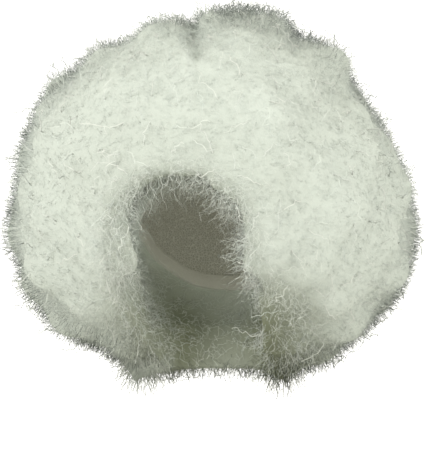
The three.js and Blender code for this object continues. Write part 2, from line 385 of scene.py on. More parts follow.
growth = {
    "bare": 0.012,  # nearer to the head than this, and above the cap's edge, nothing grows
    "edgeRoom": 0.004,
    "inside": 0.45,  # how thick the hair grows on its inner side
    "insideFrom": -0.05,
    "outside": (0.15, 0.5),
    "backUpperFrom": -0.09,
    "nape": (-0.235, -0.215),
    "crestHeight": (0.055, 0.100),
    "crestMiddle": 0.02,
    "crestWidth": (0.04, 0.09),
    "tufts": ((-0.083, 0.040, -0.236), (0.058, 0.048, -0.238)),
    "tuftSize": (0.008, 0.022),
}

# The opening for the face: a round arch over upright sides
arch = {
    "drop": 0.053,  # from the crown to its top
    "radius": 0.056,
    "flare": 0.010,  # wider and higher at the front
    "rise": 0.003,
    "flareAt": (0.096, 0.16),
    "fringeWidth": (0.006, 0.016),
    "fringeFront": (0.080, 0.110),
    "fringeLowest": -0.24,
    # Painted shade round the opening: darker along its edge, and a fainter, broader band above it
    "edgeShade": 0.30,
    "edgeShadeWidth": (-0.006, 0.016),
    "broadShade": 0.12,
    "broadShadeWidth": (0.02, 0.085),
    "broadShadeHeight": (-0.11, -0.05),
}

# Painted shade beside and behind the neck: the hair there is coloured darker, less so at a pale tuft at the
# left, and fewer bright curls at a hollow at the right let its painted shade show darker
neckShade = {
    "middle": 0.012,
    "width": (0.045, 0.120),
    "height": (-0.185, -0.115),
    "depth": (0.04, 0.09),
    "paleTuft": (-0.076, 0.03, -0.232),
    "paleSize": (0.012, 0.034),
    "paleShare": 0.95,
    "cheeks": (0.1, 0.4),  # the painted shade in which cheek curls grow
    "cheekSides": (0.030, 0.045),
    "cheekDepth": 0.03,
    "inwardShare": 0.8,
    "inwardLevel": -0.13,
    "hollow": (0.058, -0.172),
    "hollowSize": (0.016, 0.04),
    "hollowShare": 0.6,
}

# The frizz stands up in a band from ear to ear over the crown, along the outline as seen from the front,
# turned this many degrees round; its tips there and on the crest are coloured dark as painted rim shade
frizzBand = {
    "degrees": 12.0,
    "width": (0.10, 0.66),
    "paleShare": 0.7,
    "crestShare": 0.72,
}


def markZones(mesh):
    places, outward = corners(mesh), outwardOf(mesh)
    x, y, z = places[:, 0], places[:, 1], places[:, 2]
    ways, lengths = outOfForm(places)
    facing = (ways * outward).sum(axis=1)
    storeZone(mesh, "outside", smoothStep(*growth["outside"], facing / lengths))

    off, _ = offHead(places)
    edge = np.array([onHead(turn, edgeTilt(turn), 0)[2] for turn in np.arctan2(x, -y)])
    bare = (off < growth["bare"]) & (z > edge - growth["edgeRoom"])
    thinner = np.where((facing < 0) & (y > growth["insideFrom"]), growth["inside"], 1.0)
    grows = np.where(bare, 0.0, thinner)
    storeZone(mesh, "everywhere", grows)
    sides = {
        name: (places - np.array(point)) @ np.array(normal)
        for name, (normal, point) in partings.items()
    }
    for mass, rule in masses.items():
        inMass = np.all([sides[name] * side > 0 for name, side in rule.items()], axis=0)
        if mass == "hair_back":
            upper = z > growth["backUpperFrom"]
            storeZone(mesh, "backUpper", grows * inMass * upper)
            storeZone(mesh, "backLower", grows * inMass * ~upper)
        else:
            storeZone(mesh, mass, grows * inMass)

    radius = arch["radius"]
    flare = smoothStep(*arch["flareAt"], -y)
    archX = x / (1 + arch["flare"] * flare / radius)
    archZ = z + arch["drop"] - arch["rise"] * flare
    beyond = np.where(archZ > -radius, np.hypot(archX, archZ + radius) - radius, np.abs(archX) - radius)
    ahead = smoothStep(*arch["fringeFront"], -y) * (z > arch["fringeLowest"])
    nearArch = 1 - smoothStep(*arch["fringeWidth"], np.abs(beyond))
    storeZone(mesh, "fringe", nearArch * ahead * grows)
    storeZone(mesh, "nape", (1 - smoothStep(*growth["nape"], z)) * grows)
    crest = smoothStep(*growth["crestHeight"], z)
    crest = crest * (1 - smoothStep(*growth["crestWidth"], np.abs(x - growth["crestMiddle"])))
    storeZone(mesh, "crest", crest * grows)
    tufts = np.zeros(len(places))
    for point in growth["tufts"]:
        near = np.linalg.norm(places - point, axis=1)
        tufts = np.maximum(tufts, 1 - smoothStep(*growth["tuftSize"], near))
    storeZone(mesh, "tufts", tufts * grows)

    # Painted shade mask: the hair beside and behind the neck, and round the face opening, is coloured darker
    beside = 1 - smoothStep(*neckShade["width"], np.abs(x - neckShade["middle"]))
    under = 1 - smoothStep(*neckShade["height"], z)
    fromTuft = np.linalg.norm(places - neckShade["paleTuft"], axis=1)
    pale = 1 - smoothStep(*neckShade["paleSize"], fromTuft)
    shaded = beside * under * (1 - smoothStep(*neckShade["depth"], y)) * (1 - neckShade["paleShare"] * pale)
    # painted shade along the opening's edge, and a broader, fainter band above it
    archShade = arch["edgeShade"] * (1 - smoothStep(*arch["edgeShadeWidth"], beyond))
    broad = arch["broadShade"] * (1 - smoothStep(*arch["broadShadeWidth"], beyond))
    archShade += broad * smoothStep(*arch["broadShadeHeight"], z)
    shaded = np.maximum(shaded, archShade * ahead)
    storeZone(mesh, "shaded", shaded)
    cheeks = smoothStep(*neckShade["cheeks"], shaded) * smoothStep(*neckShade["cheekSides"], np.abs(x))
    cheeks = cheeks * (y < neckShade["cheekDepth"])
    inward = (facing < 0) & (y > 0.0) & (z < neckShade["inwardLevel"])
    hollowX, hollowZ = neckShade["hollow"]
    wide, high = neckShade["hollowSize"]
    hollow = np.exp(-(((x - hollowX) / wide) ** 2) - ((z - hollowZ) / high) ** 2)
    cheeks = np.where(bare, 0.0, np.maximum(cheeks, neckShade["inwardShare"] * inward))
    storeZone(mesh, "cheeks", cheeks * (1 - neckShade["hollowShare"] * hollow))

    turn = math.radians(frizzBand["degrees"])
    toward = np.abs(ways / lengths[:, None] @ np.array((math.sin(turn), -math.cos(turn), 0.0)))
    side = 1 - smoothStep(*frizzBand["width"], toward)
    storeZone(mesh, "side", side * (1 - frizzBand["paleShare"] * pale))
    # Painted rim shade mask: where frizz ends are coloured dark, in the band and on the crest, less at the
    # pale tuft
    rim = np.maximum(side, frizzBand["crestShare"] * crest)
    storeZone(mesh, "rim", rim * (1 - neckShade["paleShare"] * pale))


def storeZone(mesh, name, values):
    zone = mesh.attributes.new(name, "FLOAT", "POINT")
    zone.data.foreach_set("value", np.asarray(values, np.float32))


# Strands

# What all strands share. The powers say how a thing grows along the strand, from none at its root.
fibre = {
    "sides": 3,
    "kinkPower": 0.6,
    "droopPower": 1.6,
    "taperPower": 1.5,
    "kinkDetail": 1.0,
    "kinkRoughness": 0.6,
}


# Grows one kind of strand on a zone of the skin. Each strand leaves its root at a lean from the surface, and
# noise that neighbours share kinks it, as crimped fibre is.
def strandTree(settings, material):
    tree = bpy.data.node_groups.new("growStrands", "GeometryNodeTree")
    face = tree.interface
    face.new_socket("Geometry", in_out="INPUT", socket_type="NodeSocketGeometry")
    kinds = {"zone": "NodeSocketString", "seed": "NodeSocketInt", "points": "NodeSocketInt"}
    for name in settings:
        face.new_socket(name, in_out="INPUT", socket_type=kinds.get(name, "NodeSocketFloat"))
    face.new_socket("Geometry", in_out="OUTPUT", socket_type="NodeSocketGeometry")
    entry = tree.nodes.new("NodeGroupInput")
    given = {s.name: Field(tree, s) for s in entry.outputs if s.name}

    def attribute(name, kind="FLOAT"):
        return addNode(tree, "GeometryNodeInputNamedAttribute", {"data_type": kind}, {"Name": name})

    def store(geometry, name, value, kind="FLOAT"):
        settings = {"data_type": kind, "domain": "POINT"}
        sockets = {"Geometry": geometry, "Name": name, "Value": value}
        return addNode(tree, "GeometryNodeStoreNamedAttribute", settings, sockets)

    def random(low, high, seed, kind="FLOAT"):
        names = ("Min_001", "Max_001", 1) if kind == "FLOAT" else ("Min", "Max", 0)
        sockets = {names[0]: low, names[1]: high, "Seed": seed}
        return addNode(tree, "FunctionNodeRandomValue", {"data_type": kind}, sockets, names[2])

    onlyOutside = 1.0 - given["outsideOnly"] * (1.0 - attribute("outside"))
    onlyAtSides = 1.0 - given["atSides"] * (1.0 - attribute("side"))
    spread = addNode(
        tree,
        "GeometryNodeDistributePointsOnFaces",
        {"distribute_method": "POISSON"},
        {
            "Mesh": given["Geometry"],
            "Distance Min": given["spacing"],
            "Density Max": given["density"],
            "Density Factor": attribute(given["zone"]) * onlyOutside * onlyAtSides,
            "Seed": given["seed"],
        },
    )
    normal = Field(tree, spread.socket.node.outputs["Normal"])
    anyWay = random((-1, -1, -1), (1, 1, 1), 3, "FLOAT_VECTOR")
    tangent = vectorMath(tree, "NORMALIZE", vectorMath(tree, "CROSS_PRODUCT", normal, anyWay))
    lean = random(given["leanLow"], given["leanHigh"], 5)
    upright = scaled(tree, normal, lean.math("COSINE", lean))
    along = scaled(tree, tangent, lean.math("SINE", lean))
    way = vectorMath(tree, "ADD", upright, along)
    points = store(spread, "rootNormal", normal, "FLOAT_VECTOR")
    points = store(points, "tone", random(0.0, 1.0, 7))
    points = store(points, "twist", random(0.0, 1.0, 11))
    line = addNode(tree, "GeometryNodeCurvePrimitiveLine", None, {"Start": (0, 0, 0), "End": (0, 0, 1)})
    line = addNode(tree, "GeometryNodeResampleCurve", None, {"Curve": line, "Count": given["points"]})
    turned = addNode(tree, "FunctionNodeAlignRotationToVector", {"axis": "Z"}, {"Vector": way})
    length = random(given["lengthLow"], given["lengthHigh"], 13)
    sockets = {"Points": points, "Instance": line, "Rotation": turned, "Scale": length}
    grown = addNode(tree, "GeometryNodeInstanceOnPoints", None, sockets)
    strands = addNode(tree, "GeometryNodeRealizeInstances", None, {"Geometry": grown})

    # Kinks, the arch over the skin, the root under it and the droop of the end
    share = addNode(tree, "GeometryNodeSplineParameter")
    place = addNode(tree, "GeometryNodeInputPosition")
    rootNormal = attribute("rootNormal", "FLOAT_VECTOR")
    crimp = addNode(
        tree,
        "ShaderNodeTexNoise",
        {"noise_dimensions": "4D"},
        {
            "Vector": place,
            "W": attribute("twist") * given["unlike"],
            "Scale": given["kinks"],
            "Detail": fibre["kinkDetail"],
            "Roughness": fibre["kinkRoughness"],
        },
        "Color",
    )
    crimp = vectorMath(tree, "SUBTRACT", crimp, (0.5, 0.5, 0.5))
    crimp = scaled(tree, crimp, given["crimp"] * share ** fibre["kinkPower"])
    lift = given["arch"] * share.math("SINE", share * math.pi) - given["rootDepth"]
    offset = vectorMath(tree, "ADD", crimp, scaled(tree, rootNormal, lift))
    fall = -1.0 * given["droop"] * share ** fibre["droopPower"]
    offset = vectorMath(tree, "ADD", offset, addNode(tree, "ShaderNodeCombineXYZ", None, {"Z": fall}))
    strands = addNode(tree, "GeometryNodeSetPosition", None, {"Geometry": strands, "Offset": offset})
    strands = store(strands, "along", share)
    taper = given["thickness"] * (1.0 - given["taper"] * share ** fibre["taperPower"])
    mesh = tube(tree, strands, taper)
    mesh = addNode(tree, "GeometryNodeSetShadeSmooth", None, {"Geometry": mesh, "Shade Smooth": True})
    mesh = addNode(tree, "GeometryNodeRealizeInstances", None, {"Geometry": mesh})
    mesh = addNode(tree, "GeometryNodeSetMaterial", None, {"Geometry": mesh, "Material": material})
    leave = tree.nodes.new("NodeGroupOutput")
    tree.links.new(mesh.socket, leave.inputs["Geometry"])
    return tree


# A closed tube round a curve
def tube(tree, curve, thickness):
    ring = {"Resolution": fibre["sides"], "Radius": 0.5}
    ring = addNode(tree, "GeometryNodeCurvePrimitiveCircle", None, ring)
    sockets = {"Curve": curve, "Profile Curve": ring, "Scale": thickness, "Fill Caps": True}
    return addNode(tree, "GeometryNodeCurveToMesh", None, sockets)


# Gives a modifier its tree and the tree's inputs, and returns the plain result
def realized(carrier, name, tree, settings):
    modifier = carrier.modifiers.new("nodes", "NODES")
    modifier.node_group = tree
    for item in tree.interface.items_tree:
        if item.in_out == "INPUT" and item.name in settings:
            modifier[item.identifier] = settings[item.name]
    result = plain(carrier, name)
    bpy.data.node_groups.remove(tree)
    return result


# Strands take the skin's normals, so that a mass of them is lit as one soft form
def softNormals(mesh):
    given = np.empty(len(mesh.vertices) * 3, np.float32)
    mesh.attributes["soft"].data.foreach_get("vector", given)
    mesh.normals_split_custom_set_from_vertices(given.reshape(-1, 3).tolist())


def keepOnly(mesh, *kept):
    kept += ("custom_normal", "sharp_edge", "sharp_face", "material_index")
    loose = [a.name for a in mesh.attributes if not a.is_internal and not a.is_required]
    for name in loose:
        if name not in kept:
            mesh.attributes.remove(mesh.attributes[name])


def growStrands(skin, name, settings, material):
    carrier = link(bpy.data.objects.new(name + "Carrier", skin.data.copy()))
    strands = realized(carrier, name, strandTree(settings, material), settings)
    softNormals(strands.data)
    keepOnly(strands.data, "tone", "along", "shaded", "rim")
    finishPiece(strands, "frizzy_hair")


# Base colours of the hair
hairColours = {
    "light": (0.85, 0.92, 0.855),
    "shade": (0.80, 0.87, 0.805),
    "bright": (0.955, 0.985, 0.925),
    "matted": (0.80, 0.855, 0.795),
    "mattedShade": (0.78, 0.84, 0.78),
    # painted rim shade, for the dark ends of frizz along the outline
    "tip": (0.10, 0.126, 0.113),
    # painted shade, mixed in where the shaded mask is high
    "deep": (0.30, 0.325, 0.23),
}
strandLooks = {
    "soft_curl": {"colours": ("shade", "light"), "paintedGlints": 0.3, "takesPaintedShade": True, "paintsRimShade": False},
    "bright_curl": {"colours": ("light", "bright"), "paintedGlints": 0.0, "takesPaintedShade": False, "paintsRimShade": False},
    "frizz_painted_rim_shade": {"colours": ("shade", "light"), "paintedGlints": 0.0, "takesPaintedShade": True, "paintsRimShade": True},
}
tipFrom, tipFull = 0.3, 0.55  # how far along a strand its dark tip, painted rim shade, starts, and is full
strandFinish = {"Roughness": 0.62, "Specular IOR Level": 0.35}


def hairColour(name):
    return (*hairColours[name], 1)


def surfaceValue(tree, name):
    return addNode(tree, "ShaderNodeAttribute", {"attribute_name": name}, None, "Fac")


# Mixes in the deep colour as painted shade where the shaded mask is high
def withPaintedShade(tree, colour):
    return mixColours(tree, surfaceValue(tree, "shaded"), colour, hairColour("deep"))


# Each strand has a tone of its own: the brightest ones take the bright colour as painted glints; painted
# shade and painted rim shade are mixed in after
def strandMaterial(name):
    material, tree = newMaterial(name)
    look = strandLooks[name]
    tone = surfaceValue(tree, "tone")
    colour = mixColours(tree, tone, *(hairColour(c) for c in look["colours"]))
    if look["paintedGlints"]:
        glint = smoothRange(tree, tone, 1.0 - look["paintedGlints"], 1.0)
        colour = mixColours(tree, glint, colour, hairColour("bright"))
    if look["takesPaintedShade"]:
        colour = withPaintedShade(tree, colour)
    # painted rim shade: the strand's end darkens where the rim mask is high
    if look["paintsRimShade"]:
        rim = smoothRange(tree, surfaceValue(tree, "rim"), 0.0, 1.0)
        end = smoothRange(tree, surfaceValue(tree, "along"), tipFrom, tipFull) * rim
        colour = mixColours(tree, end, colour, hairColour("tip"))
    finishMaterial(tree, {"Base Color": colour, **strandFinish})
    return material


# The skin looks like matted curls: thin lines where layers of noise pass their middle value
matting = {
    "layers": ((130, (0, 0, 0)), (190, (3.1, 2.17, -3.1)), (260, (7.7, 5.39, -7.7))),  # scale, and move
    "detail": 1.5,
    "distortion": 0.6,
    "lineWidth": 0.035,
    "strength": 0.2,
    "depth": 0.0012,
    "finish": {"Roughness": 0.75, "Specular IOR Level": 0.2},
}


def skinMaterial():
    material, tree = newMaterial("matted_frizz")
    place = objectPlace(tree)
    height = None
    for scale, move in matting["layers"]:
        moved = vectorMath(tree, "ADD", place, move)
        look = {"Scale": scale, "Detail": matting["detail"], "Distortion": matting["distortion"]}
        cloud = addNode(tree, "ShaderNodeTexNoise", {"noise_dimensions": "3D"}, {"Vector": moved, **look})
        curl = smoothRange(tree, abs(cloud - 0.5), 0.0, matting["lineWidth"], 1.0, 0.0)
        height = curl if height is None else height.math("MAXIMUM", height, curl)
    colour = mixColours(tree, height, hairColour("mattedShade"), hairColour("matted"))
    # painted shade where the shaded mask is high
    colour = withPaintedShade(tree, colour)
    bump = bumped(tree, height, matting)
    finishMaterial(tree, {"Base Color": colour, "Normal": bump, **matting["finish"]})
    return material


# The soft normals outside, and each cut wall's own
def wallNormals(mesh):
    soft = np.empty(len(mesh.vertices) * 3, np.float32)
    mesh.attributes["soft"].data.foreach_get("vector", soft)
    soft = soft.reshape(-1, 3)
    mesh.shade_smooth()
    normals = []
    for face in mesh.polygons:
        for corner in face.vertices:
            given = Vector(soft[corner])
            alike = given.dot(face.normal) > bigForm["wallAgreement"]
            normals.append(given if alike else face.normal.copy())
    mesh.normals_split_custom_set(normals)


# The skin cut at the partings, one closed piece for each mass
def cutMasses(skin, material):
    for mass, rule in masses.items():
        shape = bmesh.new()
        shape.from_mesh(skin.data)
        for name, side in rule.items():
            normal, point = partings[name]
            way = normal * side
            everything = list(shape.verts) + list(shape.edges) + list(shape.faces)
            cut = bmesh.ops.bisect_plane(
                shape, geom=everything, plane_co=point, plane_no=way, clear_inner=True
            )
            rim = [e for e in cut["geom_cut"] if isinstance(e, bmesh.types.BMEdge)]
            bmesh.ops.triangle_fill(shape, use_beauty=True, use_dissolve=False, edges=rim)
        bmesh.ops.recalc_face_normals(shape, faces=shape.faces)
        gaps = sum(1 for e in shape.edges if len(e.link_faces) != 2)
        mesh = bpy.data.meshes.new(mass + "_mass")
        shape.to_mesh(mesh)
        shape.free()
        wallNormals(mesh)
        keepOnly(mesh, "shaded")
        mesh.materials.append(material)
        finishPiece(link(bpy.data.objects.new(mass + "_mass", mesh)), "frizzy_hair", mass)
        print(mass, "has", gaps, "open edges")


skin = hairSkin()
softenNormals(skin.data)
markZones(skin.data)

# Curls that lie over the skin. Lengths in metres, lean in radians from the surface's normal.
curls = {
    "zone": "",
    "seed": 1,
    "points": 4,
    "spacing": 0.0039,
    "density": 200000.0,
    "outsideOnly": 0.0,
    "atSides": 0.0,
    "leanLow": 1.0,
    "leanHigh": 1.5,
    "lengthLow": 0.008,
    "lengthHigh": 0.014,
    "kinks": 170.0,
    "crimp": 0.013,
    "unlike": 3.0,
    "arch": 0.0016,
    "rootDepth": 0.0005,
    "droop": 0.0,
    "thickness": 0.00036,
    "taper": 0.5,
}
frizz = {
    **curls,
    "spacing": 0.0022,
    "outsideOnly": 1.0,
    "atSides": 1.0,
    "points": 4,
    "leanLow": 0.0,
    "leanHigh": 0.22,
    "lengthLow": 0.007,
    "lengthHigh": 0.013,
    "kinks": 260.0,
    "crimp": 0.009,
    "arch": 0.0,
    "rootDepth": 0.001,
    "thickness": 0.00027,
    "taper": 0.2,
}
fringe = {
    **curls,
    "zone": "fringe",
    "seed": 5,
    "points": 10,
    "spacing": 0.0022,
    "leanLow": 0.4,
    "leanHigh": 1.35,
    "lengthLow": 0.012,
    "lengthHigh": 0.034,
    "kinks": 240.0,
    "crimp": 0.026,
    "arch": 0.0,
    "rootDepth": 0.003,
    "droop": 0.006,
    "thickness": 0.00034,
    "taper": 0.6,
}
flyaways = {
    **curls,
    "zone": "everywhere",
    "seed": 6,
    "points": 10,
    "spacing": 0.022,
    "outsideOnly": 1.0,
    "leanLow": 0.9,
    "leanHigh": 1.4,
    "lengthLow": 0.018,
    "lengthHigh": 0.032,
    "kinks": 190.0,
    "crimp": 0.026,
    "arch": 0.005,
    "rootDepth": 0.001,
    "thickness": 0.0010,
}
nape = {
    **curls,
    "zone": "nape",
    "seed": 8,
    "points": 7,
    "spacing": 0.0048,
    "leanLow": 0.2,
    "leanHigh": 1.1,
    "lengthLow": 0.010,
    "lengthHigh": 0.018,
    "kinks": 200.0,
    "crimp": 0.018,
    "arch": 0.0,
    "rootDepth": 0.002,
    "droop": 0.005,
    "thickness": 0.0005,
}
crest = {
    **curls,
    "zone": "crest",
    "seed": 7,
    "points": 8,
    "spacing": 0.0036,
    "outsideOnly": 1.0,
    "leanLow": 0.2,
    "leanHigh": 1.1,
    "lengthLow": 0.010,
    "lengthHigh": 0.019,
    "kinks": 250.0,
    "crimp": 0.026,
    "arch": 0.0,
    "rootDepth": 0.001,
    "thickness": 0.00045,
    "taper": 0.3,
}
cheeks = {
    **fringe,
    "zone": "cheeks",
    "seed": 4,
    "points": 8,
    "spacing": 0.0040,
    "leanLow": 0.5,
    "leanHigh": 1.3,
    "lengthLow": 0.010,
    "lengthHigh": 0.020,
    "rootDepth": 0.001,
    "droop": 0.004,
    "thickness": 0.0005,
}
crestCurls = {**cheeks, "zone": "crest", "seed": 3, "spacing": 0.0075, "outsideOnly": 1.0, "arch": 0.004}
tufts = {
    **nape,
    "zone": "tufts",
    "seed": 9,
    "spacing": 0.0026,
    "density": 300000.0,
    "leanLow": 0.0,
    "leanHigh": 0.6,
    "lengthLow": 0.012,
    "lengthHigh": 0.020,
    "droop": 0.009,
}

softStrand, brightStrand, frizzStrand = (strandMaterial(name) for name in strandLooks)
zones = {
    "hair_crown": "hair_crown",
    "hair_left": "hair_left",
    "hair_right": "hair_right",
    "back_upper": "backUpper",
    "back_lower": "backLower",
}
for seed, (name, zone) in enumerate(zones.items()):
    growStrands(skin, name + "_curls", {**curls, "zone": zone, "seed": 10 + seed}, softStrand)
    growStrands(skin, name + "_frizz", {**frizz, "zone": zone, "seed": 20 + seed}, frizzStrand)
growStrands(skin, "fringe_wisps", fringe, brightStrand)
growStrands(skin, "cheek_curls", cheeks, brightStrand)
growStrands(skin, "flyaway_curls", flyaways, brightStrand)
growStrands(skin, "crest_frizz", crest, frizzStrand)
growStrands(skin, "crest_curls", crestCurls, brightStrand)
growStrands(skin, "nape_wisps", nape, frizzStrand)
growStrands(skin, "nape_tufts", tufts, softStrand)
cutMasses(skin, skinMaterial())
bpy.data.objects.remove(skin)
print("hair made")


# Cap: a smooth dome of net over the head, sewn through along each row of hair

capShape = {
    "wall": 0.0016,
    "around": 120,
    "rings": 26,
    "rowSpacing": 0.013,
    "rowTop": 0.16,  # radians from the crown to the first row
    "rowEnd": 0.018,  # the last row ends this far above the cap's edge
    "crease": math.radians(50),  # edges that bend more than this stay sharp
    "weld": 1e-7,
}


def surfaceOf(name, points, faces, material, slot, replaced):
    mesh = bpy.data.meshes.new(name)
    mesh.from_pydata([tuple(p) for p in points], [], faces)
    shape = bmesh.new()
    shape.from_mesh(mesh)
    bmesh.ops.remove_doubles(shape, verts=shape.verts, dist=capShape["weld"])
    bmesh.ops.recalc_face_normals(shape, faces=shape.faces)
    shape.to_mesh(mesh)
    shape.free()
    mesh.shade_smooth()
    mesh.set_sharp_from_angle(angle=capShape["crease"])
    mesh.materials.append(material)
    finishPiece(link(bpy.data.objects.new(name, mesh)), slot, replaced)


def makeCap(material):
    around, rings = capShape["around"], capShape["rings"]
    points = []
    for lift in (0, capShape["wall"]):
        for ring in range(rings + 1):
            for step in range(around):
                turn = step / around * 2 * math.pi
                points.append(onHead(turn, edgeTilt(turn) * ring / rings, lift))
    size = (rings + 1) * around
    faces = []
    for side in (0, 1):
        for ring in range(rings):
            for step in range(around):
                a = side * size + ring * around + step
                b = side * size + ring * around + (step + 1) % around
                faces.append((a, b, b + around, a + around) if ring else (a, b + around, a + around))
    for step in range(around):
        a, b = rings * around + step, rings * around + (step + 1) % around
        faces.append((a, b, b + size, a + size))
    surfaceOf("cap_net", points, faces, material, "cap_net", "cap")


# Binding: a folded ribbon along the cap's edge. Each corner: height above the edge, lift off the head.
binding = {
    "corners": (
        (-0.0017, -0.0015),
        (-0.0017, 0.0031),
        (0.011, 0.0031),
        (0.011, 0.0021),
        (-0.0005, 0.0021),
        (-0.0005, -0.0005),
        (0.011, -0.0005),
        (0.011, -0.0015),
    ),
    "rounding": 0.0004,
    "middle": 0.0008,  # the lift that parts its outer side from its inner one
    "around": 220,
    "pucker": 0.00012,
    "puckers": 130,
}


def makeBinding(material):
    profile = []
    bends = [Vector(corner) for corner in binding["corners"]]
    for i, here in enumerate(bends):
        before, after = bends[i - 1], bends[(i + 1) % len(bends)]
        start = here + (before - here).normalized() * binding["rounding"]
        end = here + (after - here).normalized() * binding["rounding"]
        profile += [start, (start + end) / 4 + here / 2, end]
    around = binding["around"]
    points, faces = [], []
    for step in range(around):
        turn = step / around * 2 * math.pi
        wave = binding["pucker"] * math.sin(turn * binding["puckers"])
        for up, lift in profile:
            outer = 1 if lift > binding["middle"] else -1
            tilt = edgeTilt(turn) - up / head["above"]
            points.append(onHead(turn, tilt, lift + outer * wave * (up > 0)))
    count = len(profile)
    for step in range(around):
        for i in range(count):
            a, b = step * count, (step + 1) % around * count
            faces.append((a + i, a + (i + 1) % count, b + (i + 1) % count, b + i))
    surfaceOf("binding_ribbon", points, faces, material, "ribbon", "edge_binding")


# Stitches along a path: straight ones, or slanted this way and that in a zigzag
stitchKinds = {
    "row": {"spacing": 0.0022, "length": 0.0030, "thickness": 0.0005, "slant": 0.95},
    "seam": {"spacing": 0.0042, "length": 0.0030, "thickness": 0.0006, "slant": 0.0},
}
stitchPaths = {
    "steps": 160,
    "rise": 0.001,  # the way off the head is measured over this height
    "rowLift": -0.0001,
    "seamUp": 0.0085,  # how far each seam is above the cap's edge
    "seamLifts": (-0.0016, 0.0032),
}


def stitchTree(settings, material):
    tree = bpy.data.node_groups.new("sewStitches", "GeometryNodeTree")
    face = tree.interface
    face.new_socket("Geometry", in_out="INPUT", socket_type="NodeSocketGeometry")
    for name in settings:
        face.new_socket(name, in_out="INPUT", socket_type="NodeSocketFloat")
    face.new_socket("Geometry", in_out="OUTPUT", socket_type="NodeSocketGeometry")
    entry = tree.nodes.new("NodeGroupInput")
    given = {s.name: Field(tree, s) for s in entry.outputs if s.name}
    path = addNode(tree, "GeometryNodeMeshToCurve", None, {"Mesh": given["Geometry"]})
    apart = {"Curve": path, "Length": given["spacing"]}
    places = addNode(tree, "GeometryNodeCurveToPoints", {"mode": "LENGTH"}, apart)
    tangent = Field(tree, places.socket.node.outputs["Tangent"])
    kind = {"data_type": "FLOAT_VECTOR"}
    upward = addNode(tree, "GeometryNodeInputNamedAttribute", kind, {"Name": "upward"})
    turned = addNode(tree, "FunctionNodeAlignRotationToVector", {"axis": "X"}, {"Vector": tangent})
    turned = addNode(
        tree,
        "FunctionNodeAlignRotationToVector",
        {"axis": "Z", "pivot_axis": "X"},
        {"Rotation": turned, "Vector": upward},
    )
    index = addNode(tree, "GeometryNodeInputIndex")
    side = 1.0 - 2.0 * index.math("MODULO", index, 2.0)
    slant = addNode(tree, "ShaderNodeCombineXYZ", None, {"Z": given["slant"] * side})
    slant = addNode(tree, "FunctionNodeEulerToRotation", None, {"Euler": slant})
    sockets = {"Rotation": turned, "Rotate By": slant}
    turned = addNode(tree, "FunctionNodeRotateRotation", {"rotation_space": "LOCAL"}, sockets)
    half = given["length"] * 0.5
    line = addNode(
        tree,
        "GeometryNodeCurvePrimitiveLine",
        None,
        {
            "Start": addNode(tree, "ShaderNodeCombineXYZ", None, {"X": -1.0 * half}),
            "End": addNode(tree, "ShaderNodeCombineXYZ", None, {"X": half}),
        },
    )
    stitch = tube(tree, line, given["thickness"])
    sockets = {"Points": places, "Instance": stitch, "Rotation": turned}
    sewn = addNode(tree, "GeometryNodeInstanceOnPoints", None, sockets)
    sewn = addNode(tree, "GeometryNodeRealizeInstances", None, {"Geometry": sewn})
    sewn = addNode(tree, "GeometryNodeSetMaterial", None, {"Geometry": sewn, "Material": material})
    leave = tree.nodes.new("NodeGroupOutput")
    tree.links.new(sewn.socket, leave.inputs["Geometry"])
    return tree


# Sews stitches along closed paths, each a function of the turn round the head
def sew(name, paths, kind, material, slot):
    settings = stitchKinds[kind]
    steps = stitchPaths["steps"]
    points, edges, upward = [], [], []
    for tiltAt, lift in paths:
        first = len(points)
        for step in range(steps):
            turn = step / steps * 2 * math.pi
            here = onHead(turn, tiltAt(turn), lift)
            points.append(here)
            above = onHead(turn, tiltAt(turn), lift + stitchPaths["rise"])
            upward.append((above - here).normalized())
            edges.append((first + step, first + (step + 1) % steps))
    mesh = bpy.data.meshes.new(name)
    mesh.from_pydata([tuple(p) for p in points], edges, [])
    layer = mesh.attributes.new("upward", "FLOAT_VECTOR", "POINT")
    layer.data.foreach_set("vector", np.array(upward, np.float32).ravel())
    carrier = link(bpy.data.objects.new(name + "Path", mesh))
    stitches = realized(carrier, name, stitchTree(settings, material), settings)
    keepOnly(stitches.data)
    finishPiece(stitches, slot)


# Rows of stitches down the cap, closer to the edge on the sides than over the crown
def rowPaths():
    deepest = max(edgeTilt(math.radians(a)) for a in range(0, 360, 10))
    count = int(deepest * head["above"] / capShape["rowSpacing"])
    end = capShape["rowEnd"] / head["above"]

    def row(share):
        top = capShape["rowTop"]
        return lambda turn: top + share * (edgeTilt(turn) - end - top)

    return [(row(i / count), stitchPaths["rowLift"]) for i in range(count + 1)]


def seamPaths():
    up = stitchPaths["seamUp"] / head["above"]
    return [(lambda turn: edgeTilt(turn) - up, lift) for lift in stitchPaths["seamLifts"]]


netLook = {
    "cells": 420.0,
    "thread": (0.03, 0.12),  # how near a cell's edge a thread is full, and ends
    "patches": 25.0,
    "patchDetail": 3.0,
    "patchColours": ((0.52, 0.51, 0.46, 1), (0.64, 0.63, 0.58, 1)),
    "threadColour": (0.86, 0.85, 0.80, 1),
    "roughness": 0.85,
    "strength": 0.5,
    "depth": 0.0005,
}


def netMaterial():
    material, tree = newMaterial("stretch_net")
    place = objectPlace(tree)
    sockets = {"Vector": place, "Scale": netLook["cells"]}
    cells = addNode(tree, "ShaderNodeTexVoronoi", {"feature": "DISTANCE_TO_EDGE"}, sockets, "Distance")
    thread = smoothRange(tree, cells, *netLook["thread"], 1.0, 0.0)
    sockets = {"Vector": place, "Scale": netLook["patches"], "Detail": netLook["patchDetail"]}
    patches = addNode(tree, "ShaderNodeTexNoise", None, sockets)
    thin = mixColours(tree, patches, *netLook["patchColours"])
    colour = mixColours(tree, thread, thin, netLook["threadColour"])
    bump = bumped(tree, thread, netLook)
    finishMaterial(tree, {"Base Color": colour, "Roughness": netLook["roughness"], "Normal": bump})
    return material


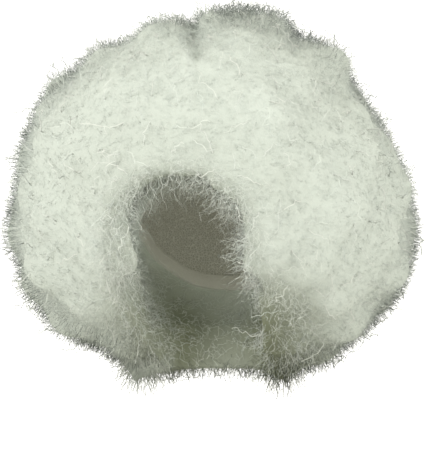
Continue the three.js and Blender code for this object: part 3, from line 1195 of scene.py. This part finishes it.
ribbonLook = {
    "weave": 900.0,
    "detail": 2.0,
    "colours": ((0.74, 0.73, 0.68, 1), (0.90, 0.89, 0.85, 1)),
    "roughness": 0.6,
    "strength": 0.4,
    "depth": 0.0004,
}


def ribbonMaterial():
    material, tree = newMaterial("sewn_ribbon")
    sockets = {"Vector": objectPlace(tree), "Scale": ribbonLook["weave"], "Detail": ribbonLook["detail"]}
    weave = addNode(tree, "ShaderNodeTexNoise", None, sockets)
    colour = mixColours(tree, weave, *ribbonLook["colours"])
    bump = bumped(tree, weave, ribbonLook)
    finishMaterial(tree, {"Base Color": colour, "Roughness": ribbonLook["roughness"], "Normal": bump})
    return material


threadLook = {
    "ply": 2500.0,
    "detail": 1.0,
    "colours": ((0.70, 0.69, 0.62, 1), (0.92, 0.91, 0.86, 1)),
    "roughness": 0.55,
}


def threadMaterial():
    material, tree = newMaterial("sewing_thread")
    sockets = {"Vector": objectPlace(tree), "Scale": threadLook["ply"], "Detail": threadLook["detail"]}
    ply = addNode(tree, "ShaderNodeTexNoise", None, sockets)
    colour = mixColours(tree, ply, *threadLook["colours"])
    finishMaterial(tree, {"Base Color": colour, "Roughness": threadLook["roughness"]})
    return material


makeCap(netMaterial())
makeBinding(ribbonMaterial())
sewingThread = threadMaterial()
sew("row_stitches", rowPaths(), "row", sewingThread, "cap_net")
sew("seam_stitches", seamPaths(), "seam", sewingThread, "ribbon")
print("cap finished")


# Stage, light and camera

camera = {
    "azimuth": math.radians(12),
    "distance": 1.65,
    "metresPerPixel": 0.00096,  # at the crown
    "crownPixel": (213.5, 126),
    "frame": (432, 468),
    "sensor": 36,
}


def placeCamera():
    across, up = (
        (camera["frame"][0] / 2 - camera["crownPixel"][0]) * camera["metresPerPixel"],
        (camera["crownPixel"][1] - camera["frame"][1] / 2) * camera["metresPerPixel"],
    )
    back = Vector((math.sin(camera["azimuth"]), -math.cos(camera["azimuth"]), 0))
    right = Vector((math.cos(camera["azimuth"]), math.sin(camera["azimuth"]), 0))
    data = bpy.data.cameras.new("camera")
    data.sensor_width = camera["sensor"]
    data.lens = camera["sensor"] * camera["distance"] / (camera["frame"][1] * camera["metresPerPixel"])
    seat = link(bpy.data.objects.new("camera", data))
    place = back * camera["distance"] + right * across + Vector((0, 0, up))
    upright = Matrix((right, Vector((0, 0, 1)), back)).transposed().to_4x4()
    seat.matrix_world = Matrix.Translation(place) @ upright
    scene.camera = seat


# Broad lamps either side of the camera, a little above it, and one behind.
# Each: degrees round, degrees up, distance, size, power.
lamps = {
    "left": (-34, 11, 2.6, 2.2, 31),
    "right": (56, 10, 2.6, 2.2, 24),
    "behind": (192, 25, 2.6, 2.2, 52),
}
lampAim = Vector((0, 0, -0.08))


def placeLamps():
    for name, (around, above, distance, size, power) in lamps.items():
        data = bpy.data.lights.new(name, "AREA")
        data.shape = "DISK"
        data.size = size
        data.energy = power
        seat = link(bpy.data.objects.new(name, data))
        around, above = math.radians(around), math.radians(above)
        level = math.cos(above)
        back = Vector((math.sin(around) * level, -math.cos(around) * level, math.sin(above)))
        seat.location = back * distance + lampAim
        seat.rotation_euler = back.to_track_quat("Z", "Y").to_euler()


stage = {
    "radius": 4.2,
    "segments": 64,
    "colour": (0.85, 0.85, 0.85, 1),
    "roughness": 0.9,
    "glow": 1.0,  # keeps the ground pale where little lamp light falls
    "daylight": (1.0, 0.98, 0.84, 1),
    "strength": 0.58,
}


# A pale sphere all round, so that each view has the same plain ground
def placeStage():
    world = bpy.data.worlds.new("studio")
    scene.world = world
    world.use_nodes = True
    tree = world.node_tree
    tree.nodes.clear()
    given = {"Color": stage["daylight"], "Strength": stage["strength"]}
    light = addNode(tree, "ShaderNodeBackground", None, given)
    output = tree.nodes.new("ShaderNodeOutputWorld")
    tree.links.new(light.socket, output.inputs["Surface"])
    shape = bmesh.new()
    segments = stage["segments"]
    bmesh.ops.create_uvsphere(
        shape, u_segments=segments, v_segments=segments // 2, radius=stage["radius"]
    )
    bmesh.ops.reverse_faces(shape, faces=shape.faces)
    mesh = bpy.data.meshes.new("ground")
    shape.to_mesh(mesh)
    shape.free()
    mesh.shade_smooth()
    ground = link(bpy.data.objects.new("ground", mesh))
    material, tree = newMaterial("pale_ground")
    finishMaterial(
        tree,
        {
            "Base Color": stage["colour"],
            "Roughness": stage["roughness"],
            "Emission Color": (1, 1, 1, 1),
            "Emission Strength": stage["glow"],
        },
    )
    mesh.materials.append(material)
    ground.visible_diffuse = False
    ground.visible_glossy = False
    ground.visible_shadow = False


placeCamera()
placeLamps()
placeStage()
scene.view_settings.view_transform = "Standard"
scene.cycles.diffuse_bounces = 8  # white hair passes light on many times
print("stage set")
